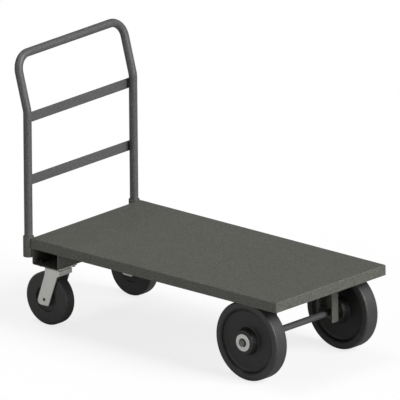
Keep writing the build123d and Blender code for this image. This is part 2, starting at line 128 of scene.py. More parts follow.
# A head or nut ends in a round face, this share of its flats wide, with sloped corners outside it.
ROUND_FACE_SHARE = 0.95
ROUND_FACE_HEIGHT = 0.2 * MM
CORNER_SLOPE = 0.58

# Weld beads. The shares are parts of the bead's radius, and the wander is in radians a metre.
WELD_RADIUS = 2.2 * MM
WELD_RIPPLE = 1.7 * MM
WELD_STEPS_PER_RIPPLE = 4
WELD_MEAN_SHARE = 0.92
WELD_RIPPLE_SHARE = 0.10
WELD_WANDER_SHARE = 0.06
WELD_WANDER_ALONG = 310
WELD_WANDER_ACROSS = 50
WELD_END_SHARE = 0.45
WELD_END_GROWTH = 0.2

# Where the beads run. Each socket bead is (distance outwards from the socket's middle, radius),
# and each crossbar bead is (distance outwards from the leg's middle, distance past the bar's front).
SOCKET_BEADS = ((-13.0 * MM, 2.4 * MM), (8.0 * MM, 1.3 * MM))
SOCKET_BEAD_BEHIND_DECK = 0.9 * MM
SOCKET_BEAD_ABOVE_EDGE = 2 * MM
SOCKET_BEAD_BELOW_TOP = 6 * MM
CROSSBAR_BEADS = ((-9.5 * MM, 0.8 * MM), (1.2 * MM, -1.2 * MM))
CROSSBAR_BEAD_RADIUS = 1.7 * MM
CROSSBAR_BEAD_MARGIN = 2 * MM
BRACKET_BEAD_BELOW_RIB = 0.6 * MM
BRACKET_BEAD_OUT = 0.5 * MM
BRACKET_BEND_RADIUS = 7 * MM
BRACKET_BEND_STEPS = 6
AXLE_BEAD_INSIDE_WEB = 5.3 * MM
AXLE_BEAD_TURN = 10
STITCH_LENGTH = 38 * MM
STITCH_SPACING = 142 * MM
STITCH_OUT = 0.6 * MM
STITCH_BELOW_DECK = 0.8 * MM

# Floor, as a grey where the camera sees it and another for the light it throws back
FLOOR_HALF_WIDTH = 9.0
FLOOR_ROUGHNESS = 0.9
FLOOR_SEEN = 0.16
FLOOR_UNSEEN = 0.42
FLOOR_GLOW = 0.80
SKY_STRENGTH = 0.21

# Camera: the view of the photograph, with no perspective. Degrees and metres.
VIEW_AZIMUTH = 42.01
VIEW_ELEVATION = 17.83
VIEW_ROLL = -0.557
VIEW_WIDTH = 1.48054
VIEW_RIGHT_OF_DECK_MIDDLE = -0.03033
VIEW_ABOVE_DECK_MIDDLE = 0.19008
VIEW_DISTANCE = 4.0

# Patterns: most of a noise lies between these two values.
NOISE_LOW = 0.3
NOISE_HIGH = 0.7

# Lighter edges, as wear and, on the enamel, also as a painted highlight: where the lightening starts and
# is full, as 1 less the dot product of rounded and flat normal
EDGE_STARTS = 0.03
EDGE_FULL = 0.30
EDGE_SAMPLES = 4

# ---------------------------------------------------------------- material nodes


class Surface:
    """One Principled material, with short ways to add procedural detail to it."""

    def __init__(self, name, colour, roughness, metallic=0.0):
        self.material = bpy.data.materials.new(name)
        self.material.use_nodes = True
        self.tree = self.material.node_tree
        self.shader = self.tree.nodes["Principled BSDF"]
        self.place = self.tree.nodes.new("ShaderNodeTexCoord").outputs["Object"]
        self.colour = colour
        self.shader.inputs["Base Color"].default_value = opaque(colour)
        self.shader.inputs["Roughness"].default_value = roughness
        self.shader.inputs["Metallic"].default_value = metallic
        self.normal = None

    def add(self, kind, inputs, **settings):
        """A node with its settings, and each input linked or set."""
        node = self.tree.nodes.new(kind)
        for name, value in settings.items():
            setattr(node, name, value)
        for socket, value in inputs.items():
            if isinstance(value, bpy.types.NodeSocket):
                self.tree.links.new(value, node.inputs[socket])
            else:
                node.inputs[socket].default_value = value
        return node

    def stretched(self, x, y, z):
        """The place, scaled along each axis, so that a pattern is drawn out."""
        return self.add("ShaderNodeMapping", {"Vector": self.place, "Scale": (x, y, z)}).outputs[0]

    def from_axle(self):
        """Metres from the axle along Y, for a wheel whose origin is on it."""
        across = self.stretched(1.0, 0.0, 1.0)
        return self.add("ShaderNodeVectorMath", {0: across}, operation="LENGTH").outputs["Value"]

    def noise(self, scale, detail, place=None):
        """Cloudy noise from 0 to 1, with features about 1/scale metres across."""
        inputs = {"Vector": place or self.place, "Scale": scale, "Detail": detail}
        return self.add("ShaderNodeTexNoise", inputs).outputs["Fac"]

    def between(self, value, low, high, out_low=0.0, out_high=1.0):
        """value from low to high becomes out_low to out_high, and stops there."""
        inputs = {"Value": value, "From Min": low, "From Max": high}
        inputs.update({"To Min": out_low, "To Max": out_high})
        return self.add("ShaderNodeMapRange", inputs).outputs["Result"]

    def times(self, first, second):
        """Two values multiplied."""
        return self.add("ShaderNodeMath", {0: first, 1: second}, operation="MULTIPLY").outputs[0]

    def mixed(self, share, first, second):
        """The first colour, going over to the second as share goes to 1."""
        inputs = {0: share, 6: first, 7: second}
        return self.add("ShaderNodeMix", inputs, data_type="RGBA").outputs[2]

    def edges(self, width):
        """1 along convex and concave edges and 0 away from them."""
        rounded = self.add("ShaderNodeBevel", {"Radius": width}, samples=EDGE_SAMPLES).outputs[0]
        flat = self.tree.nodes.new("ShaderNodeNewGeometry").outputs["Normal"]
        dot = self.add("ShaderNodeVectorMath", {0: rounded, 1: flat}, operation="DOT_PRODUCT")
        return self.between(dot.outputs["Value"], 1.0 - EDGE_STARTS, 1.0 - EDGE_FULL)

    def vary_colour(self, pattern, darker, lighter):
        """The base colour, from darker to lighter times itself, by a pattern from 0 to 1."""
        low = scaled(self.colour, darker)
        high = scaled(self.colour, lighter)
        return self.mixed(self.between(pattern, NOISE_LOW, NOISE_HIGH), low, high)

    def use_colour(self, socket):
        """Takes the base colour from a pattern."""
        self.tree.links.new(socket, self.shader.inputs["Base Color"])

    def use_roughness(self, pattern, low, high):
        """Lets the roughness follow a pattern, from low to high."""
        rough = self.between(pattern, NOISE_LOW, NOISE_HIGH, low, high)
        self.tree.links.new(rough, self.shader.inputs["Roughness"])

    def bump(self, pattern, depth, strength=1.0):
        """Adds relief of that depth in metres on top of the relief there already is."""
        inputs = {"Height": pattern, "Distance": depth, "Strength": strength}
        if self.normal:
            inputs["Normal"] = self.normal
        self.normal = self.add("ShaderNodeBump", inputs).outputs["Normal"]
        self.tree.links.new(self.normal, self.shader.inputs["Normal"])


def grey(value, warmth=0.0, green=0.0):
    """A linear grey with a little warmth or green in it."""
    return (value * (1 + warmth), value * (1 + green), value * (1 - warmth))


def opaque(colour):
    """A colour with its alpha."""
    return (*colour, 1)


def scaled(colour, factor):
    """A colour made darker or lighter, with its alpha."""
    return (*[channel * factor for channel in colour], 1)


# ---------------------------------------------------------------- materials


def enamel(name, colour):
    """Satin enamel sprayed on steel: orange peel, faint blotches, and edges made lighter, partly as rubbed
    wear and partly as a painted highlight.
    """
    surface = Surface(name, colour, roughness=0.5)
    blotches = surface.noise(scale=6.0, detail=4.0)
    speckle = surface.noise(scale=170.0, detail=4.0)
    base = surface.vary_colour(blotches, darker=0.97, lighter=1.03)
    specks = surface.between(speckle, low=0.40, high=0.60)
    grain = surface.mixed(specks, base, scaled(colour, 0.60))
    # Edges made lighter: partly rubbed wear, partly a painted highlight along corners and edges.
    edges = surface.edges(width=1.2 * MM)
    patches = surface.between(surface.noise(scale=45.0, detail=5.0), low=0.5, high=0.68, out_high=0.35)
    rubbed_and_highlight = surface.times(edges, patches)
    surface.use_colour(surface.mixed(rubbed_and_highlight, grain, opaque(grey(0.30))))
    surface.use_roughness(blotches, low=0.44, high=0.54)
    surface.bump(surface.noise(scale=420.0, detail=2.0), depth=0.05 * MM, strength=0.5)
    surface.bump(blotches, depth=0.15 * MM, strength=0.3)
    return surface.material


def axle_finish():
    """Enamel between the brackets and bare turned steel on the ends that carry the wheels."""
    surface = Surface("axle_steel", grey(0.065, green=0.02), roughness=0.45)
    web_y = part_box("axle_bracket_left")[1].y
    along = surface.add("ShaderNodeSeparateXYZ", {0: surface.place}).outputs["Y"]
    distance = surface.add("ShaderNodeMath", {0: along}, operation="ABSOLUTE").outputs[0]
    bare = surface.between(distance, low=web_y - 2 * MM, high=web_y)
    lines = surface.noise(scale=90.0, detail=3.0, place=surface.stretched(0.6, 18.0, 0.6))
    paint = surface.vary_colour(surface.noise(scale=12.0, detail=3.0), darker=0.95, lighter=1.05)
    bright_lines = surface.between(lines, low=0.35, high=0.65)
    steel = surface.mixed(bright_lines, opaque(grey(0.13)), opaque(grey(0.20)))
    surface.use_colour(surface.mixed(bare, paint, steel))
    bare_metal = surface.times(bare, 0.85)
    surface.tree.links.new(bare_metal, surface.shader.inputs["Metallic"])
    surface.use_roughness(lines, low=0.34, high=0.46)
    surface.bump(lines, depth=0.03 * MM, strength=0.4)
    return surface.material


def plated(name, colour, roughness, metallic, tint):
    """Plated or ground steel: fine grain, cloudy sheen, and a faint second tint."""
    surface = Surface(name, colour, roughness, metallic)
    clouds = surface.noise(scale=28.0, detail=4.0)
    grain = surface.noise(scale=700.0, detail=2.0)
    cloudy = surface.between(clouds, low=0.4, high=0.65, out_high=0.5)
    tinted = surface.mixed(cloudy, opaque(colour), opaque(tint))
    dull = surface.between(grain, low=0.55, high=0.8, out_high=0.3)
    surface.use_colour(surface.mixed(dull, tinted, scaled(colour, 0.75)))
    surface.use_roughness(clouds, low=roughness - 0.06, high=roughness + 0.08)
    surface.bump(grain, depth=0.02 * MM, strength=0.5)
    return surface.material


def moulded(name, colour, roughness, tread_radius=None):
    """Moulded wheel material: fine pitted skin, soft mottling and scuffed edges.
    With a tread radius, the tread is made lighter in patches: partly dust, partly painted light standing
    in for light the tread lacks in shade under the deck."""
    surface = Surface(name, colour, roughness)
    mottle = surface.noise(scale=35.0, detail=4.0)
    pits = surface.noise(scale=1100.0, detail=2.0)
    base = surface.vary_colour(mottle, darker=0.88, lighter=1.14)
    if tread_radius:
        # Tread band lightened in patches: partly dust, partly painted light for a tread that lies in shade
        # under the deck.
        tread = surface.between(surface.from_axle(), low=tread_radius - 8 * MM, high=tread_radius)
        patches = surface.noise(scale=60.0, detail=5.0)
        patchy = surface.between(patches, NOISE_LOW, NOISE_HIGH, out_low=0.5, out_high=1.0)
        lighter_patches = surface.times(tread, patchy)
        base = surface.mixed(lighter_patches, base, opaque(grey(0.052, warmth=0.03)))
    edges = surface.edges(width=1.5 * MM)
    scuffs = surface.noise(scale=120.0, detail=4.0)
    scuffed = surface.times(edges, surface.between(scuffs, low=0.35, high=0.7, out_low=0.15, out_high=0.6))
    surface.use_colour(surface.mixed(scuffed, base, opaque(grey(0.11, warmth=0.02))))
    surface.use_roughness(mottle, low=roughness - 0.07, high=roughness + 0.07)
    surface.bump(pits, depth=0.05 * MM, strength=0.6)
    surface.bump(surface.noise(scale=140.0, detail=3.0), depth=0.12 * MM, strength=0.35)
    return surface.material


def tyre_finish():
    """Tyre rubber: matt, with dusty scuffs drawn out round the tread."""
    surface = Surface("tyre_rubber", grey(0.031, warmth=0.01), roughness=0.5)
    scuffs = surface.noise(scale=70.0, detail=5.0, place=surface.stretched(1.0, 5.0, 1.0))
    lighter_patches = surface.between(scuffs, low=0.48, high=0.75, out_high=0.45)
    base = surface.vary_colour(surface.noise(scale=25.0, detail=3.0), darker=0.9, lighter=1.12)
    surface.use_colour(surface.mixed(lighter_patches, base, opaque(grey(0.05, warmth=0.03))))
    surface.use_roughness(scuffs, low=0.42, high=0.56)
    surface.bump(surface.noise(scale=1300.0, detail=2.0), depth=0.05 * MM, strength=0.6)
    surface.bump(scuffs, depth=0.10 * MM, strength=0.3)
    return surface.material


def all_materials():
    """The record's material slots and what each looks like."""
    deck_grey = (0.104, 0.105, 0.090)
    handle_grey = (0.090, 0.090, 0.090)
    zinc = (0.72, 0.72, 0.70)
    zinc_tint = (0.84, 0.82, 0.74)
    dark_tint = (0.07, 0.065, 0.06)
    steel = grey(0.55)
    steel_tint = (0.60, 0.59, 0.56)
    hard_rubber = grey(0.027, warmth=0.04)
    tread_radius = 100 * MM
    return {
        "deck_paint": enamel("deck_enamel", deck_grey),
        "handle_paint": enamel("handle_enamel", handle_grey),
        "axle_steel": axle_finish(),
        "zinc_plate": plated("zinc_plate", zinc, roughness=0.42, metallic=0.75, tint=zinc_tint),
        "dark_steel": plated("dark_steel", grey(0.06), roughness=0.45, metallic=0.5, tint=dark_tint),
        "bearing_steel": plated("bearing_steel", steel, roughness=0.28, metallic=0.95, tint=steel_tint),
        "seal_rubber": moulded("seal_rubber", grey(0.02), roughness=0.6),
        "moulded_wheel": moulded("moulded_wheel", hard_rubber, roughness=0.5, tread_radius=tread_radius),
        "wheel_plastic": moulded("wheel_plastic", grey(0.013, warmth=0.04), roughness=0.42),
        "tyre_rubber": tyre_finish(),
    }


materials = all_materials()
slot_of = {subpart["node"]: subpart["material_slot"] for subpart in frame["record"]["subparts"]}
body_of = {}
for body_name, members in frame["record"]["behaviour"]["bodies"].items():
    for member in members:
        body_of[member] = body_name


def finish_cad_nodes():
    """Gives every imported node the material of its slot."""
    for name, node in cad_nodes.items():
        for material_slot in node.material_slots:
            material_slot.material = materials[slot_of[name]]


# ---------------------------------------------------------------- shapes


def corner_arc(before, here, after, radius, steps):
    """A corner of a path, rounded to an arc of that radius, or left sharp where it is 0."""
    if radius == 0:
        return [here]
    back = (before - here).normalized()
    ahead = (after - here).normalized()
    half = back.angle(ahead) / 2
    reach = radius / math.tan(half)
    centre = here + (back + ahead).normalized() * radius / math.sin(half)
    start = here + back * reach - centre
    end = here + ahead * reach - centre
    whole_turn = start.angle(end)
    axis = start.cross(end)
    turns = [Matrix.Rotation(whole_turn * step / steps, 3, axis) for step in range(steps + 1)]
    return [centre + turn @ start for turn in turns]


def bent_path(corners, radius, steps=BEND_STEPS):
    """An open path of straight runs joined by arcs."""
    path = [corners[0]]
    for before, here, after in zip(corners, corners[1:], corners[2:]):
        path += corner_arc(before, here, after, radius, steps)
    return path + [corners[-1]]


def rounded_loop(corners):
    """A closed outline from (radius from the axis, place along it, corner radius) rows."""
    places = [Vector((out, along, 0)) for out, along, _ in corners]
    loop = []
    for i, (_, _, radius) in enumerate(corners):
        after = places[(i + 1) % len(places)]
        loop += corner_arc(places[i - 1], places[i], after, radius, CORNER_STEPS)
    return loop


def mirrored(half):
    """A symmetric outline from the rows of its upper half."""
    return half + [(out, -along, radius) for out, along, radius in reversed(half)]


def whole_circle(sides):
    """The angles of evenly spaced points round a circle."""
    return [2 * math.pi * side / sides for side in range(sides)]


def rings_along(path, radii, sides):
    """One ring of points round each point of a path, without twist."""
    rings = []
    last = len(path) - 1
    across = (path[1] - path[0]).orthogonal().normalized()
    for i, point in enumerate(path):
        ahead = (path[min(i + 1, last)] - path[max(i - 1, 0)]).normalized()
        across = (across - ahead * across.dot(ahead)).normalized()
        other = ahead.cross(across)
        ring = []
        for a in whole_circle(sides):
            ring.append(point + radii[i] * (math.cos(a) * across + math.sin(a) * other))
        rings.append(ring)
    return rings


class Shape:
    """Points and faces that become one piece."""

    def __init__(self):
        self.points = []
        self.faces = []

    def add_rings(self, rings, closed=False, capped=False):
        """Skins a row of rings. closed joins the last ring to the first, capped fills both ends."""
        first = len(self.points)
        sides = len(rings[0])
        for ring in rings:
            self.points.extend(ring)
        for i in range(len(rings) if closed else len(rings) - 1):
            here = first + i * sides
            there = first + (i + 1) % len(rings) * sides
            for j in range(sides):
                k = (j + 1) % sides
                self.faces.append((here + j, here + k, there + k, there + j))
        if capped:
            last = first + (len(rings) - 1) * sides
            self.faces.append(tuple(reversed(range(first, first + sides))))
            self.faces.append(tuple(range(last, last + sides)))

    def piece(self, name, slot, body, place=(0, 0, 0), sharp_angle=SHARP_ANGLE):
        """The finished object: smooth shaded except at real edges, riding on its body."""
        mesh = bpy.data.meshes.new(name)
        mesh.from_pydata(self.points, [], self.faces)
        edit = bmesh.new()
        edit.from_mesh(mesh)
        bmesh.ops.recalc_face_normals(edit, faces=edit.faces)
        edit.to_mesh(mesh)
        edit.free()
        return finished_piece(mesh, name, slot, body, place, sharp_angle)


def finished_piece(mesh, name, slot, body, place=(0, 0, 0), sharp_angle=SHARP_ANGLE):
    """Makes an object of a mesh, with its shading, material, slot and body."""
    mesh.shade_smooth()
    mesh.set_sharp_from_angle(angle=math.radians(sharp_angle))
    mesh.materials.append(materials[slot])
    piece = bpy.data.objects.new(name, mesh)
    bpy.context.scene.collection.objects.link(piece)
    piece.location = place
    weighted = piece.modifiers.new("even_flats", "WEIGHTED_NORMAL")
    weighted.keep_sharp = True
    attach(piece, body)
    return piece


def stands_for(piece, *names):
    """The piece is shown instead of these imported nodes."""
    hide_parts(*names)


def middle(node):
    """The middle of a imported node's box."""
    low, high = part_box(node)
    return (low + high) / 2


def turned_about_y(outline, sides):
    """Rings for a shape turned about its own Y axis, from a closed outline."""
    angles = whole_circle(sides)
    return [[Vector((p.x * math.cos(a), p.y, p.x * math.sin(a))) for a in angles] for p in outline]


def turned_about_z(outline, sides):
    """Rings for a shape turned about its own Z axis, from a closed outline."""
    angles = whole_circle(sides)
    return [[Vector((p.x * math.cos(a), p.x * math.sin(a), p.y)) for a in angles] for p in outline]


# ---------------------------------------------------------------- wheels


def front_tyre(side):
    """A smooth tyre with rounded shoulders, a fine parting ridge and a rounded joint to the rim."""
    node = f"tyre_{side}"
    low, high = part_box(node)
    outer = (high.z - low.z) / 2
    rim_low, rim_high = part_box(f"wheel_centre_{side}")
    inner = (rim_high.z - rim_low.z) / 2
    tread = outer - PARTING_RIDGE_HEIGHT
    half = [
        (inner, FRONT_HALF_TREAD, TYRE_JOINT_RADIUS),
        (tread, FRONT_HALF_TREAD, TREAD_EDGE_RADIUS),
        (tread, PARTING_RIDGE_HALF_WIDTH, 0),
        (outer, PARTING_RIDGE_HALF_WIDTH / 4, 0),
    ]
    shape = Shape()
    shape.add_rings(turned_about_y(rounded_loop(mirrored(half)), FRONT_WHEEL_SIDES), closed=True)
    piece = shape.piece(f"front_tyre_{side}", "tyre_rubber", body_of[node], middle(node))
    stands_for(piece, node)


def front_wheel_centre(side):
    """The rim, its recessed disc and the long boss, with soft moulded edges."""
    node = f"wheel_centre_{side}"
    low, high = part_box(node)
    rim = (high.z - low.z) / 2
    half_hub = (high.y - low.y) / 2
    recess_floor = FRONT_HALF_TREAD - FRONT_RECESS_DEPTH
    half = [
        (FRONT_BORE_RADIUS, half_hub, BORE_EDGE_RADIUS),
        (FRONT_BOSS_RADIUS, half_hub, FRONT_BOSS_EDGE_RADIUS),
        (FRONT_BOSS_ROOT_RADIUS, recess_floor, FRONT_BOSS_FILLET),
        (FRONT_RECESS_RADIUS, recess_floor, FRONT_RECESS_FILLET),
        (FRONT_RECESS_RADIUS + FRONT_RECESS_SLOPE, FRONT_HALF_TREAD, FRONT_RECESS_EDGE_RADIUS),
        (rim, FRONT_HALF_TREAD, TYRE_JOINT_RADIUS),
    ]
    shape = Shape()
    shape.add_rings(turned_about_y(rounded_loop(mirrored(half)), FRONT_WHEEL_SIDES), closed=True)
    piece = shape.piece(f"front_wheel_centre_{side}", "wheel_plastic", body_of[node], middle(node))
    stands_for(piece, node)


def caster_wheel(side):
    """The solid moulded wheel: rounded tread edges, a round recess and a short boss."""
    node = f"caster_tread_wheel_{side}"
    low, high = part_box(node)
    outer = (high.z - low.z) / 2
    half_hub = (high.y - low.y) / 2
    recess_floor = CASTER_HALF_TREAD - CASTER_RECESS_DEPTH
    tread = outer - PARTING_RIDGE_HEIGHT
    half = [
        (CASTER_BORE_RADIUS, half_hub, BORE_EDGE_RADIUS),
        (CASTER_HUB_RADIUS, half_hub, CASTER_HUB_EDGE_RADIUS),
        (CASTER_HUB_RADIUS + CASTER_HUB_SLOPE, recess_floor, CASTER_HUB_FILLET),
        (CASTER_RECESS_RADIUS - CASTER_RECESS_SLOPE, recess_floor, CASTER_RECESS_FILLET),
        (CASTER_RECESS_RADIUS, CASTER_HALF_TREAD, CASTER_RECESS_EDGE_RADIUS),
        (tread, CASTER_HALF_TREAD, CASTER_EDGE_RADIUS),
        (tread, PARTING_RIDGE_HALF_WIDTH, 0),
        (outer, PARTING_RIDGE_HALF_WIDTH / 4, 0),
    ]
    shape = Shape()
    shape.add_rings(turned_about_y(rounded_loop(mirrored(half)), CASTER_WHEEL_SIDES), closed=True)
    piece = shape.piece(f"caster_wheel_skin_{side}", "moulded_wheel", body_of[node], middle(node))
    stands_for(piece, node)


# ---------------------------------------------------------------- handle


def handle_corners(tube_radius):
    """The handle's centre line, corner by corner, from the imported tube's box."""
    low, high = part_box("handle_tube")
    leg_x = high.x - tube_radius
    bar_x = low.x + tube_radius
    kink_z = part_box("deck_pan")[1].z + KINK_ABOVE_DECK
    bar_z = high.z - tube_radius
    leg_y = high.y - tube_radius
    half = [(leg_x, -leg_y, low.z), (leg_x, -leg_y, kink_z), (bar_x, -leg_y, bar_z)]
    other_half = [(x, -y, z) for x, y, z in reversed(half)]
    return [Vector(corner) for corner in half + other_half]


def handle_tube(tube_radius):
    """The bent round tube with its real wall, open at both ends."""
    path = bent_path(handle_corners(tube_radius), HANDLE_BEND_RADIUS)
    outside = rings_along(path, [tube_radius] * len(path), TUBE_SIDES)
    inside = rings_along(path, [tube_radius - TUBE_WALL] * len(path), TUBE_SIDES)
    shape = Shape()
    shape.add_rings(outside + list(reversed(inside)), closed=True)
    piece = shape.piece("handle_tube_skin", "handle_paint", "handle")
    stands_for(piece, "handle_tube")


def rounded_bar(node, name):
    """A flat rolled bar in a node's own box, with its edges rounded."""
    low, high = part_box(node)
    size = high - low
    edit = bmesh.new()
    bmesh.ops.create_cube(edit, size=1.0)
    for point in edit.verts:
        point.co = Vector([low[i] + (point.co[i] + 0.5) * size[i] for i in range(3)])
    bmesh.ops.bevel(
        edit,
        geom=edit.edges[:],
        offset=BAR_EDGE_RADIUS,
        segments=BAR_EDGE_STEPS,
        profile=0.5,
        affect="EDGES",
    )
    mesh = bpy.data.meshes.new(name)
    edit.to_mesh(mesh)
    edit.free()
    piece = finished_piece(mesh, name, slot_of[node], body_of[node])
    stands_for(piece, node)


def handle_socket(side):
    """A short tube with dressed lips."""
    node = f"handle_socket_{side}"
    low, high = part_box(node)
    outer = (high.x - low.x) / 2
    half = (high.z - low.z) / 2
    outline = [(SOCKET_BORE_RADIUS, half, SOCKET_LIP_RADIUS), (outer, half, SOCKET_LIP_RADIUS)]
    shape = Shape()
    shape.add_rings(turned_about_z(rounded_loop(mirrored(outline)), SOCKET_SIDES), closed=True)
    piece = shape.piece(f"handle_socket_skin_{side}", "deck_paint", body_of[node], middle(node))
    stands_for(piece, node)


# ---------------------------------------------------------------- bolts


def hexagon_radius(angle, across_flats):
    """How far a hexagon reaches in one direction, with a corner at angle 0."""
    return across_flats / 2 / math.cos(angle % (math.pi / 3) - math.pi / 6)


def hexagon_ring(across_flats, z, limit, slope=0.0):
    """A hexagonal ring at height z. Past limit, its corners go down by slope times the excess."""
    ring = []
    for step in range(BOLT_SIDES):
        angle = math.radians(360 / BOLT_SIDES * step)
        reach = hexagon_radius(angle, across_flats)
        drop = max(reach - limit, 0) * slope
        ring.append(Vector((reach * math.cos(angle), reach * math.sin(angle), z - drop)))
    return ring


def circle_ring(radius, z):
    """A round ring at height z."""
    return [Vector((radius * math.cos(a), radius * math.sin(a), z)) for a in whole_circle(BOLT_SIDES)]


def moved(rings, x, y):
    """The rings, shifted sideways."""
    return [[point + Vector((x, y, 0)) for point in ring] for ring in rings]


def bolt_rings(seat_z, end_z):
    """A hexagon bolt, head down: chamfered head, shank and thread up to its end."""
    flats = BOLT_ACROSS_FLATS
    round_face = flats / 2 * ROUND_FACE_SHARE
    low_z = seat_z - BOLT_HEAD_HEIGHT
    rings = [
        circle_ring(round_face, low_z),
        hexagon_ring(flats, low_z + ROUND_FACE_HEIGHT, round_face, -CORNER_SLOPE),
        hexagon_ring(flats, seat_z, round_face),
        circle_ring(BOLT_RADIUS, seat_z),
    ]
    z = end_z - THREADED_LENGTH
    while z < end_z - THREAD_PITCH:
        rings.append(circle_ring(BOLT_RADIUS, z))
        rings.append(circle_ring(BOLT_RADIUS - THREAD_DEPTH, z + THREAD_PITCH / 2))
        z += THREAD_PITCH
    rings.append(circle_ring(BOLT_RADIUS - THREAD_DEPTH / 2, end_z - THREAD_END_CHAMFER))
    rings.append(circle_ring(BOLT_RADIUS - 2 * THREAD_DEPTH, end_z))
    return rings


def nut_rings(seat_z):
    """A hexagon nut with both faces chamfered."""
    flats = BOLT_ACROSS_FLATS
    round_face = flats / 2 * ROUND_FACE_SHARE
    top_z = seat_z + NUT_HEIGHT
    return [
        circle_ring(BOLT_RADIUS, seat_z),
        circle_ring(round_face, seat_z),
        hexagon_ring(flats, seat_z + ROUND_FACE_HEIGHT, round_face, -CORNER_SLOPE),
        hexagon_ring(flats, top_z - ROUND_FACE_HEIGHT, round_face, CORNER_SLOPE),
        circle_ring(round_face, top_z),
        circle_ring(BOLT_RADIUS + NUT_MOUTH_CHAMFER, top_z),
        circle_ring(BOLT_RADIUS, top_z - NUT_MOUTH_CHAMFER),
    ]


def bolt_places():
    """The eight bolt places, four round the middle of each caster plate."""
    places = []
    for side in SIDES:
        plate = middle(f"caster_plate_{side}")
        for step_x in (-0.5, 0.5):
            for step_y in (-0.5, 0.5):
                x = plate.x + step_x * BOLT_SPACING_X
                y = plate.y + step_y * BOLT_SPACING_Y
                places.append((x, y))
    return places


def plate_bolts():
    """All bolts as one piece, and all nuts as another."""
    low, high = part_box("caster_bolts")
    nut_seat_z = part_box("caster_nuts")[0].z
    bolts = Shape()
    nuts = Shape()
    for x, y in bolt_places():
        bolts.add_rings(moved(bolt_rings(low.z + BOLT_HEAD_HEIGHT, high.z), x, y), capped=True)
        nuts.add_rings(moved(nut_rings(nut_seat_z), x, y), closed=True)
    bolt_piece = bolts.piece("plate_bolts", "dark_steel", "chassis", sharp_angle=BOLT_SHARP_ANGLE)
    nut_piece = nuts.piece("plate_nuts", "dark_steel", "chassis", sharp_angle=BOLT_SHARP_ANGLE)
    stands_for(bolt_piece, "caster_bolts")
    stands_for(nut_piece, "caster_nuts")


# ---------------------------------------------------------------- welds


def add_bead(shape, path, radius=WELD_RADIUS):
    """A weld bead along a path: a round run with ripples, thinner at both ends."""
    points = [path[0]]
    for start, end in zip(path, path[1:]):
        count = max(1, round((end - start).length / (WELD_RIPPLE / WELD_STEPS_PER_RIPPLE)))
        points += [start.lerp(end, (i + 1) / count) for i in range(count)]
    radii = []
    run = 0.0
    for i, point in enumerate(points):
        run += (point - points[max(i - 1, 0)]).length
        ripple = WELD_RIPPLE_SHARE * abs(math.sin(math.pi * run / WELD_RIPPLE))
        wander = WELD_WANDER_SHARE * math.sin(run * WELD_WANDER_ALONG + point.y * WELD_WANDER_ACROSS)
        steps_from_end = min(i, len(points) - 1 - i)
        taper = min(1.0, WELD_END_SHARE + WELD_END_GROWTH * steps_from_end)
        radii.append(radius * (WELD_MEAN_SHARE + wander - ripple) * taper)
    shape.add_rings(rings_along(points, radii, BEAD_SIDES), capped=True)


def socket_welds():
    """Upright beads in the corners between each socket and the deck's rear flange."""
    deck_low, deck_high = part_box("deck_pan")
    shape = Shape()
    x = deck_low.x - SOCKET_BEAD_BEHIND_DECK
    for side, sign in SIDES.items():
        socket = middle(f"handle_socket_{side}")
        for offset, radius in SOCKET_BEADS:
            y = socket.y + sign * offset
            start = Vector((x, y, deck_low.z + SOCKET_BEAD_ABOVE_EDGE))
            end = Vector((x, y, deck_high.z - SOCKET_BEAD_BELOW_TOP))
            add_bead(shape, [start, end], radius)
    shape.piece("socket_welds", "deck_paint", "chassis")


def crossbar_welds(tube_radius):
    """Upright beads where each flat bar meets the backs of the handle's legs."""
    leg_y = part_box("handle_tube")[1].y - tube_radius
    shape = Shape()
    for node in ("lower_crossbar", "upper_crossbar"):
        low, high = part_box(node)
        for sign in SIDES.values():
            for offset, past_front in CROSSBAR_BEADS:
                x = high.x + past_front
                y = sign * (leg_y + offset)
                start = Vector((x, y, low.z + CROSSBAR_BEAD_MARGIN))
                end = Vector((x, y, high.z - CROSSBAR_BEAD_MARGIN))
                add_bead(shape, [start, end], CROSSBAR_BEAD_RADIUS)
    shape.piece("crossbar_welds", "handle_paint", "handle")


def bracket_welds():
    """A bead round each axle bracket under the rib, and one round the axle at the bracket's web."""
    axle = middle("front_axle")
    axle_low, axle_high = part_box("front_axle")
    radius = (axle_high.z - axle_low.z) / 2 + BRACKET_BEAD_OUT
    circle = [math.radians(AXLE_BEAD_TURN * step) for step in range(360 // AXLE_BEAD_TURN)]
    shape = Shape()
    for side, sign in SIDES.items():
        low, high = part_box(f"axle_bracket_{side}")
        inner_y, web_y = sorted((abs(low.y), abs(high.y)))
        front_x = high.x + BRACKET_BEAD_OUT
        rear_x = low.x - BRACKET_BEAD_OUT
        outer_y = web_y + BRACKET_BEAD_OUT
        z = high.z - BRACKET_BEAD_BELOW_RIB
        corners = [
            Vector((rear_x, sign * inner_y, z)),
            Vector((rear_x, sign * outer_y, z)),
            Vector((front_x, sign * outer_y, z)),
            Vector((front_x, sign * inner_y, z)),
        ]
        add_bead(shape, bent_path(corners, BRACKET_BEND_RADIUS, BRACKET_BEND_STEPS))
        y = sign * (web_y - AXLE_BEAD_INSIDE_WEB)
        round_axle = []
        for a in circle:
            round_axle.append(Vector((axle.x + radius * math.cos(a), y, axle.z + radius * math.sin(a))))
        add_bead(shape, round_axle)
    shape.piece("bracket_welds", "deck_paint", "chassis")


def stitch_welds():
    """Short beads that hold the channel and the ribs to the underside of the deck."""
    shape = Shape()
    for node in ("caster_channel", "middle_rib", "front_rib"):
        low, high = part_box(node)
        for x in (low.x - STITCH_OUT, high.x + STITCH_OUT):
            y = low.y + STITCH_SPACING / 2
            while y + STITCH_LENGTH < high.y:
                start = Vector((x, y, high.z - STITCH_BELOW_DECK))
                add_bead(shape, [start, start + Vector((0, STITCH_LENGTH, 0))])
                y += STITCH_SPACING
    shape.piece("stitch_welds", "deck_paint", "chassis")


# ---------------------------------------------------------------- stage, lights and camera


